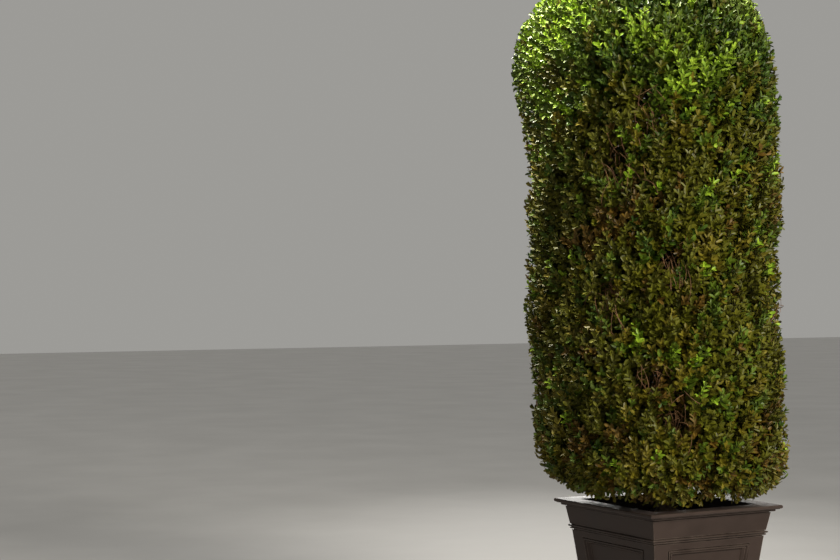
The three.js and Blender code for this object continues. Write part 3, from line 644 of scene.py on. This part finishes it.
def growTufts():
    tuftAngle, tuftHeight = evenPlaces(growth["tufts"], 2.0, 0.05)
    centre = crownPoint(tuftAngle, tuftHeight)
    spread = [evenPlaces(growth[key], 0.7 * k, 0.02) for k, key in enumerate(("outer", "inner", "old"))]
    spread.append((rng.uniform(0, 2 * math.pi, growth["skirt"]),
                   rng.uniform(crown["foot"] + 0.01, growth["skirtTop"], growth["skirt"])))
    behind = np.array(crown["hollows"])[rng.integers(0, len(crown["hollows"]), growth["backing"])]
    wide = growth["backingSpread"]
    sideways = rng.normal(0, wide, growth["backing"]) * behind[:, 2]
    upwards = rng.normal(0, wide, growth["backing"]) * behind[:, 2]
    spread.append((np.radians(behind[:, 0]) + sideways / crown["half"],
                   behind[:, 1] + upwards - growth["backingDrop"]))
    angle, height = (np.concatenate(v) for v in zip(*spread))
    layer = np.repeat(np.arange(5), [growth[key] for key in layers])
    hollow = np.clip(dentDepth(crown["hollows"], angle, height) / growth["hollowDepth"], 0, 1)
    keep = (layer > 0) | (rng.random(len(angle)) > growth["hollowThinning"] * hollow)
    angle, height, layer, hollow = (v[keep] for v in (angle, height, layer, hollow))
    place, normal, count = crownPoint(angle, height), crownNormal(angle, height), len(angle)
    tuft, away = nearestOf(place, centre)
    away = np.clip(away / growth["tuftReach"], 0, 1.2)
    # sunny says how far a shoot faces the sun, cut back below the sunny band; it deals out the fresh tint, so
    # it paints sunlight on the shoulder and shade on the lower sunny side
    sunny = ramp((normal * sunWay).sum(-1) + 0.25 * normal[:, 2], 0.1, 0.75)
    sunny *= growth["sunnyBelow"] + (1 - growth["sunnyBelow"]) * ramp(height, *growth["sunnyBand"])
    ragged = growth["raggedMean"] + growth["raggedSwing"] * patches(place, growth["raggedWave"])
    ragged = np.clip(ragged, 0.1, 1.0)
    ragged *= (1 - 0.75 * sunny) * (1 - 0.6 * ramp(normal[:, 2], 0.5, 0.9))
    gap = growth["gapEven"] + (growth["gapRagged"] - growth["gapEven"]) * ragged
    depth = gap * away ** 2 + rng.uniform(-growth["proud"], growth["uneven"], count)
    depth += np.abs(rng.normal(0, growth["tuftJitter"], growth["tufts"]))[tuft] * (0.3 + ragged)
    for number, key in enumerate(("innerDepth", "oldDepth", "skirtDepth", "backingDepth"), 1):
        depth = np.where(layer == number, rng.uniform(*growth[key], count), depth)
    fan = (place - centre[tuft]) / growth["tuftReach"] * growth["fan"]
    upright = (1 - np.abs(normal[:, 2])) ** 0.7
    upright = np.where(normal[:, 2] < 0, 0.6 * upright, upright)[:, None]
    side = sunny[:, None]
    tipOut = growth["tipOut"] + (growth["sunnyOut"] - growth["tipOut"]) * side
    tipUp = growth["tipUp"] + (growth["sunnyUp"] - growth["tipUp"]) * side
    tipWay = unit(tipOut * normal + tipUp * upright * up + fan + rng.normal(0, growth["scatter"], (count, 3)))
    footWay = unit(growth["footOut"] * normal + growth["footUp"] * upright * up + growth["footFan"] * fan
                   + rng.normal(0, growth["footScatter"], (count, 3)))
    length = (rng.uniform(*growth["length"], count) * (1 + (growth["sunnyLength"] - 1) * sunny))[:, None]
    tip = place - normal * depth[:, None]
    bend = tip - tipWay * length * 0.5
    base = bend - footWay * length * 0.5
    knot = averageBy(tuft, base, growth["tufts"]) - crownNormal(tuftAngle, tuftHeight) * growth["gatherDepth"]
    knot[:, 2] -= growth["gatherDrop"]
    base += growth["gather"] * (knot[tuft] - base)
    return {"z": height, "normal": normal, "hollow": hollow, "layer": layer, "tuft": tuft,
            "base": base, "bend": bend, "tip": tip, "count": count, "place": place, "sunny": sunny,
            "knot": knot, "knotAngle": tuftAngle, "knotHeight": tuftHeight}


shoots = growTufts()
print("shoots:", shoots["count"], "in", growth["tufts"], "tufts")


# Leaf frames of every shoot: pairs that cross from node to node, and a tuft at the tip
def growLeaves(s, chosen, pairs):
    perShoot = 2 * pairs + leaf["tipLeaves"]
    count = int(chosen.sum())
    pairAt = leaf["first"] + (leaf["lastPair"] - leaf["first"]) * np.arange(pairs) / (pairs - 1)
    t = np.concatenate([np.repeat(pairAt, 2), np.full(leaf["tipLeaves"], leaf["tipAt"])])[None, :]
    shift = np.repeat(rng.normal(0, leaf["nodeJitter"], (count, perShoot // 2 + 1)), 2, axis=1)
    t = np.clip(t + shift[:, :perShoot], 0, 1)[..., None]
    base, bend, tip, normal = (s[k][chosen][:, None] for k in ("base", "bend", "tip", "normal"))
    root = (1 - t) ** 2 * base + 2 * t * (1 - t) * bend + t ** 2 * tip
    along = unit(2 * (1 - t) * (bend - base) + 2 * t * (tip - bend))
    side = unit(np.cross(along, normal + 0.2 * up))
    other = np.cross(along, side)
    pairTurn = np.repeat(np.arange(pairs) * math.pi / 2, 2) + np.tile([0, math.pi], pairs)
    tuftTurn = np.arange(leaf["tipLeaves"]) * 2 * math.pi / leaf["tipLeaves"] + 0.6
    turn = np.concatenate([pairTurn, tuftTurn])[None] + rng.uniform(0, 2 * math.pi, (count, 1))
    turn = (turn + rng.normal(0, leaf["turnJitter"], (count, perShoot)))[..., None]
    radial = side * np.cos(turn) + other * np.sin(turn)
    lean = np.radians(leaf["footAngle"] + (leaf["tipAngle"] - leaf["footAngle"]) * t)
    lean = lean + rng.normal(0, leaf["wobble"], lean.shape)
    way = unit(along * np.cos(lean) + radial * np.sin(lean) + 0.15 * normal)
    sunny = s["sunny"][chosen][:, None]
    facing = leaf["facing"] + (leaf["sunnyFacing"] - leaf["facing"]) * sunny[..., None]
    face = along * np.sin(lean) - radial * np.cos(lean) + facing * normal
    face = unit(face - (face * way).sum(-1, keepdims=True) * way)
    size = leaf["length"] + (leaf["sunnyLength"] - leaf["length"]) * sunny
    size = size * (0.74 + 0.36 * np.sin(math.pi * t[..., 0] ** 0.8)) * rng.uniform(0.8, 1.2, t.shape[:2])
    width = size * (leaf["width"] + (leaf["sunnyWidth"] - leaf["width"]) * sunny)
    tipPoint = root + way * size[..., None]
    lowest = crown["rimTop"] + leaf["clearOfRim"]
    inside = (proudOf(tipPoint) < leaf["mostProud"]) & (tipPoint[..., 2] > lowest)
    inside &= root[..., 2] > lowest
    shoot = np.broadcast_to(np.flatnonzero(chosen)[:, None], inside.shape)
    return [v[inside] for v in (root, way, face, size, width, shoot)]


# A leaf is an oval folded along its midrib, a fan of four triangles, or of six on the outer shoots
def leafMeshes(root, way, face, size, width, outer):
    across = np.cross(way, face)
    length = size[:, None]
    width = width[:, None] * rng.uniform(0.88, 1.12, (len(size), 1))
    curl = length * leaf["curl"] * rng.uniform(0.2, 1.6, (len(size), 1))
    outline = leaf["outline"] if outer else leaf["innerOutline"]
    left = [(along, -wide) for along, wide in reversed(outline)]
    corners = [root]
    for along, wide in outline + [(1.0, 0.0)] + left:
        rise = width * leaf["fold"] * abs(wide) * 2.2 - curl * along ** 2
        corners.append(root + way * along * length + across * wide * width + face * rise)
    points = np.stack(corners, 1)
    k = np.arange(1, len(corners) - 1)
    one = np.stack([0 * k, k, k + 1], -1)
    faces = one[None] + len(corners) * np.arange(len(size))[:, None, None]
    return points.reshape(-1, 3), faces.reshape(-1, 3)


# Leaf tints, dealt out by shoot: a dark and a light base colour, and an underside
tints = {
    # the first tint is brighter partly as painted sunlight on the shoulder and the dome
    "freshAndSunlit": {"dark": (0.120, 0.212, 0.010, 1), "light": (0.290, 0.412, 0.026, 1),
              "under": (0.22, 0.29, 0.055, 1)},
    "straw": {"dark": (0.084, 0.071, 0.004, 1), "light": (0.165, 0.136, 0.009, 1),
              "under": (0.155, 0.13, 0.025, 1)},
    "green": {"dark": (0.048, 0.080, 0.004, 1), "light": (0.095, 0.143, 0.008, 1),
              "under": (0.11, 0.15, 0.03, 1)},
    "olive": {"dark": (0.060, 0.062, 0.003, 1), "light": (0.116, 0.113, 0.006, 1),
              "under": (0.13, 0.12, 0.02, 1)},
    "deep": {"dark": (0.024, 0.050, 0.003, 1), "light": (0.055, 0.102, 0.007, 1),
             "under": (0.08, 0.12, 0.025, 1)},
    "shade": {"dark": (0.052, 0.055, 0.003, 1), "light": (0.100, 0.102, 0.005, 1),
              "under": (0.11, 0.11, 0.02, 1)},
    "bronze": {"dark": (0.064, 0.038, 0.004, 1), "light": (0.130, 0.075, 0.008, 1),
               "under": (0.115, 0.075, 0.02, 1)},
}
# how much of each tint the layers behind the face take, in the order above; they lean to lighter and warmer
# tints, partly older leaves and partly painted light that lifts the shade inside the crown
innerTintsWithPaintedFill = np.array([0.2, 0.9, 0.8, 1.2, 1.2, 1.5, 1.8])
deepTintsWithPaintedFill = np.array([0.0, 0.6, 0.5, 1.0, 0.7, 2.4, 2.0])
tintBands = {"high": (1.85, 2.3), "low": (0.7, 1.05), "patchWave": 0.36, "otherWave": 0.24}


def leafMaterial(name, tint):
    material, tree, shader = newMaterial("leaf_" + name, Specular_IOR_Level=leaf["specular"])
    link = tree.links.new
    colour = useGroup(tree, mottle, Dark=tint["dark"], Light=tint["light"], Scale=48.0, Detail=2.0,
                      From=0.36, To=0.66)
    shape = addNode(tree, "ShaderNodeNewGeometry")
    sides = addNode(tree, "ShaderNodeMix", data_type="RGBA")
    sides.inputs["B"].default_value = tint["under"]
    link(shape.outputs["Backfacing"], sides.inputs["Factor"])
    link(colour.outputs["Color"], sides.inputs["A"])
    link(sides.outputs["Result"], shader.inputs["Base Color"])
    addRoughness(tree, shader, colour.outputs["Mask"], *leaf["rough"])
    addBump(tree, shader, leaf["bump"], leaf["bumpDepth"],
            Coarse_Scale=220.0, Fine_Scale=900.0, Fine_Share=0.3)
    return material


# Shares of the tints on each shoot, by height, side, soft patches and pockets. Toward the sun and on the dome
# the fresh and green tints rise, partly painted sunlight; away from them olive, straw, shade and bronze rise,
# partly painted shade
def tintShares(s):
    high = ramp(s["z"], *tintBands["high"])
    low = ramp(-s["z"], -tintBands["low"][1], -tintBands["low"][0])
    sunny = s["sunny"]
    green = np.maximum(high, sunny)
    awayFromLight = 1 - green
    patch, other = patches(s["place"], tintBands["patchWave"]), patches(s["place"], tintBands["otherWave"])
    return np.stack([
        0.04 + 0.44 * sunny + 0.22 * high,
        awayFromLight * (0.13 + 0.42 * low + 0.18 * ramp(patch, 0.2, 1.4)),
        (0.17 + 0.24 * green + 0.22 * ramp(other, 0.0, 1.2)) * (1 - 0.4 * low),
        0.06 + 0.42 * awayFromLight,
        0.03 + 0.34 * high * (1 - sunny) + 0.05 * ramp(-other, 0.3, 1.4),
        0.04 + 0.20 * awayFromLight + 0.14 * ramp(-patch, 0.0, 1.4),
        awayFromLight ** 2 * (0.04 + 0.20 * low + 0.16 * ramp(patch, 0.6, 1.6) + 0.2 * s["hollow"]),
    ], -1)


def dressLeaves(s):
    shares = tintShares(s)
    shares[s["layer"] == 1] *= innerTintsWithPaintedFill
    shares[s["layer"] > 1] *= deepTintsWithPaintedFill
    shares /= shares.sum(-1, keepdims=True)
    # shoots of one tuft draw near each other, so a tuft has mostly one tint
    draw = 0.75 * rng.normal(size=growth["tufts"])[s["tuft"]] + 0.66 * rng.normal(size=s["count"])
    draw = np.argsort(np.argsort(draw)) / s["count"]
    pick = (draw[:, None] > np.cumsum(shares, -1)).sum(-1).clip(0, len(tints) - 1)
    total, standIns = 0, [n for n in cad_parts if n.startswith("foliage_")]
    for outer, pairs, suffix in ((True, leaf["pairs"], ""), (False, leaf["innerPairs"], "_inner")):
        grown = growLeaves(s, (s["layer"] == 0) == outer, pairs)
        tintOf = pick[grown[-1]]
        for number, name in enumerate(tints):
            points, faces = leafMeshes(*(v[tintOf == number] for v in grown[:-1]), outer)
            piece = addMesh("leaves_" + name + suffix, points, faces, leafPaint[name], "foliage")
            print("leaves", name + suffix, len(faces), "triangles")
            total += len(faces)
            if standIns:
                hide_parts(*standIns)
                standIns = []
    return total


leafPaint = {name: leafMaterial(name, tint) for name, tint in tints.items()}
leafTriangles = dressLeaves(shoots)

# Twigs that carry the tufts out from the limbs, and bare ones in the pockets
twigs = {
    "cell": 0.17, "foot": 0.0045, "fork": 0.0028, "twig": 0.0022, "knot": 0.0016,
    "shootFoot": 0.0014, "shootMiddle": 0.0011, "shootTip": 0.0006, "reach": 0.8,
    "shootDark": (0.13, 0.10, 0.02, 1), "shootLight": (0.30, 0.245, 0.065, 1),
    "twigDark": (0.07, 0.033, 0.015, 1), "twigLight": (0.25, 0.13, 0.058, 1),
    "bare": 30, "bareFoot": 0.0016, "bareTip": 0.0007, "bareLength": (0.07, 0.14),
    "bareDepth": (-0.002, 0.03), "bareSpread": 0.45,
    "specular": 0.3, "rough": (0.55, 0.8), "bump": 0.5, "bumpDepth": 0.0006,
}


def twigMaterial(name, dark, light):
    material, tree, shader = newMaterial(name, Specular_IOR_Level=twigs["specular"])
    colour = useGroup(tree, mottle, Dark=dark, Light=light, Scale=35.0, Detail=4.0, From=0.34, To=0.68)
    tree.links.new(colour.outputs["Color"], shader.inputs["Base Color"])
    addRoughness(tree, shader, colour.outputs["Mask"], *twigs["rough"])
    addBump(tree, shader, twigs["bump"], twigs["bumpDepth"],
            Coarse_Scale=300.0, Fine_Scale=1200.0, Fine_Share=0.4)
    return material


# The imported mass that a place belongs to: a tier and a side, or the dome
def massOf(angle, z):
    row = np.digitize(z, [t["top"] for t in tiers])
    turns = np.radians([t["turn"] for t in tiers] + [0])[row]
    side = np.round((angle - turns) / (math.pi / 2)).astype(int) % 4
    return row, np.where(row == 3, 0, side)


# Radii from one thickness to another, the same for every limb
def taperFor(count, foot, tip, steps):
    return np.repeat([np.linspace(foot, tip, steps)], count, 0)


def growTwigs(s):
    row, side = massOf(s["knotAngle"], s["knotHeight"])
    cells = np.stack([row, side, np.floor(s["knotHeight"] / twigs["cell"]),
                      np.floor(s["knotAngle"] * crown["half"] / twigs["cell"])], -1)
    keys, member = np.unique(cells, axis=0, return_inverse=True)
    member = member.ravel()
    middle = averageBy(member, s["knot"], len(keys))
    start = np.zeros_like(middle)
    for k, key in enumerate(keys):
        way = limbWays["dome"] if key[0] == 3 else limbWays[(int(key[0]), int(key[1]))]
        outer = way[len(way) // 2:]
        start[k] = outer[np.argmin(np.abs(outer[:, 2] - middle[k, 2] + 0.06))]
    end = start + (middle - start) * twigs["reach"] - up * 0.02
    bend = (start + end) / 2 - up * 0.03 + rng.normal(0, 0.012, start.shape)
    branches = bezier(start, bend, end, 6)
    meshes = [limbMeshes(branches, taperFor(len(keys), twigs["foot"], twigs["fork"], 6), 4)]

    leave = branches[member, rng.integers(3, 6, growth["tufts"])]
    bend = (leave + s["knot"]) / 2 - up * 0.01 + rng.normal(0, 0.008, leave.shape)
    radii = taperFor(growth["tufts"], twigs["fork"], twigs["twig"], 4)
    meshes.append(limbMeshes(bezier(leave, bend, s["knot"], 4), radii, 4))

    knot = s["knot"][s["tuft"]]
    paths = bezier(knot, (knot + s["base"]) / 2 + rng.normal(0, 0.004, knot.shape), s["base"], 3)
    radii = np.repeat([[twigs["twig"] * 0.9, twigs["knot"], twigs["shootFoot"]]], s["count"], 0)
    meshes.append(limbMeshes(paths, radii, 3))

    # bare twigs that show in the pockets
    at = np.repeat([h[:3] for h in crown["hollows"]], twigs["bare"], axis=0)
    wide = twigs["bareSpread"]
    angle = np.radians(at[:, 0]) + rng.normal(0, wide, len(at)) * at[:, 2] / crown["half"]
    height = at[:, 1] + rng.normal(0, wide, len(at)) * at[:, 2]
    normal = crownNormal(angle, height)
    tip = crownPoint(angle, height) - normal * rng.uniform(*twigs["bareDepth"], (len(at), 1))
    way = unit(0.4 * normal + 0.6 * up + rng.normal(0, 0.45, normal.shape))
    length = rng.uniform(*twigs["bareLength"], (len(at), 1))
    bend = tip - way * 0.5 * length
    base = bend - unit(0.7 * normal + 0.6 * up + rng.normal(0, 0.2, normal.shape)) * 0.5 * length
    radii = taperFor(len(at), twigs["bareFoot"], twigs["bareTip"], 5)
    meshes.append(limbMeshes(bezier(base, bend, tip, 5), radii, 4))
    knot = s["knot"][nearestOf(base, s["knot"])[0]]
    radii = taperFor(len(at), twigs["twig"], twigs["bareFoot"], 4)
    meshes.append(limbMeshes(bezier(knot, (knot + base) / 2 - up * 0.006, base, 4), radii, 4))

    sizes = np.cumsum([0] + [len(v) for v, _ in meshes])
    verts = np.concatenate([v for v, _ in meshes])
    faces = np.concatenate([f + n for (_, f), n in zip(meshes, sizes)])
    addMesh("twigs", verts, faces, twigMaterial("brownTwig", twigs["twigDark"], twigs["twigLight"]), "bark")

    points = bezier(s["base"], s["bend"], s["tip"], 3)
    radii = np.repeat([[twigs["shootFoot"], twigs["shootMiddle"], twigs["shootTip"]]], s["count"], 0)
    verts, shootFaces = limbMeshes(points, radii, 3)
    shootPaint = twigMaterial("greenShoot", twigs["shootDark"], twigs["shootLight"])
    addMesh("shoots", verts, shootFaces, shootPaint, "foliage")
    print("twigs", len(faces), "shoots", len(shootFaces), "triangles")
    return len(faces) + len(shootFaces)


twigTriangles = growTwigs(shoots)
print("leaf and twig triangles in all:", leafTriangles + twigTriangles)

# Stage: pale floor, a narrow key on the dome from above and behind, a wide fill in front and at the rear
stage = {
    "floorSize": 60.0, "floorDark": (0.62, 0.61, 0.595, 1), "floorLight": (0.69, 0.68, 0.665, 1),
    "floorSpecular": 0.3, "floorRough": (0.7, 0.85),
    "sky": (0.88, 0.865, 0.82, 1), "skyStrength": 0.38,
    "keyPlace": (-0.9, 1.25, 4.9), "keySize": 1.1, "keyPower": 84.0, "keyColour": (1.0, 0.94, 0.78),
    "keySpread": 34, "keyAim": (-0.05, 0.0, 2.65),
    "fillPlace": (0.9, -5.8, 3.6), "fillSize": 3.0, "fillPower": 122.0, "fillColour": (1.0, 0.95, 0.85),
    "fillSpread": 80, "fillAim": (0.0, 0.0, 1.3),
    "rearPlace": (3.2, 5.6, 2.4), "rearSize": 3.0, "rearPower": 32.0, "rearColour": (1.0, 0.97, 0.92),
    "rearSpread": 80, "rearAim": (0.0, 0.0, 1.2),
}


def addLight(name):
    light = bpy.data.lights.new(name, "AREA")
    light.shape, light.size, light.energy = "DISK", stage[name + "Size"], stage[name + "Power"]
    light.color, light.spread = stage[name + "Colour"], math.radians(stage[name + "Spread"])
    lamp = bpy.data.objects.new(name, light)
    bpy.context.scene.collection.objects.link(lamp)
    lamp.location = stage[name + "Place"]
    toward = unit(np.array(stage[name + "Aim"]) - np.array(stage[name + "Place"]))
    yaw, pitch = math.atan2(toward[0], toward[1]), math.asin(toward[2])
    lamp.rotation_euler = (math.radians(90) + pitch, 0, -yaw)
    return lamp


def buildStage():
    material, tree, shader = newMaterial("paleFloor", Specular_IOR_Level=stage["floorSpecular"])
    colour = useGroup(tree, mottle, Dark=stage["floorDark"], Light=stage["floorLight"], Scale=1.5, Detail=5.0)
    tree.links.new(colour.outputs["Color"], shader.inputs["Base Color"])
    addRoughness(tree, shader, colour.outputs["Mask"], *stage["floorRough"])
    half = stage["floorSize"] / 2
    corners = np.array([[-half, -half, 0], [half, -half, 0], [half, half, 0], [-half, half, 0]])
    floor = addMesh("floor", corners, np.array([[0, 1, 2, 3]]), material)
    world = bpy.data.worlds.new("softSky")
    world.use_nodes = True
    back = world.node_tree.nodes["Background"]
    back.inputs["Color"].default_value = stage["sky"]
    back.inputs["Strength"].default_value = stage["skyStrength"]
    bpy.context.scene.world = world
    offFloor = bpy.data.collections.new("offFloor")  # the key lights everything but the floor
    offFloor.objects.link(floor)
    offFloor.collection_objects[0].light_linking.link_state = "EXCLUDE"
    addLight("key").light_linking.receiver_collection = offFloor
    addLight("fill")
    addLight("rear").visible_camera = False
    bpy.context.scene.view_settings.view_transform = "Standard"


buildStage()

# Camera at the photograph's place: 1.41 m up, 6.7 m from the plant
view = {"place": (-4.148, -5.315, 1.409), "yaw": 30.17, "pitch": 0.108, "lens": 77.14, "sensor": 36.0}


def placeCamera():
    camera = bpy.data.cameras.new("camera")
    camera.sensor_width, camera.lens = view["sensor"], view["lens"]
    body = bpy.data.objects.new("camera", camera)
    bpy.context.scene.collection.objects.link(body)
    body.location = view["place"]
    body.rotation_euler = (math.radians(90 + view["pitch"]), 0, math.radians(-view["yaw"]))
    bpy.context.scene.camera = body


placeCamera()
print("stage set")
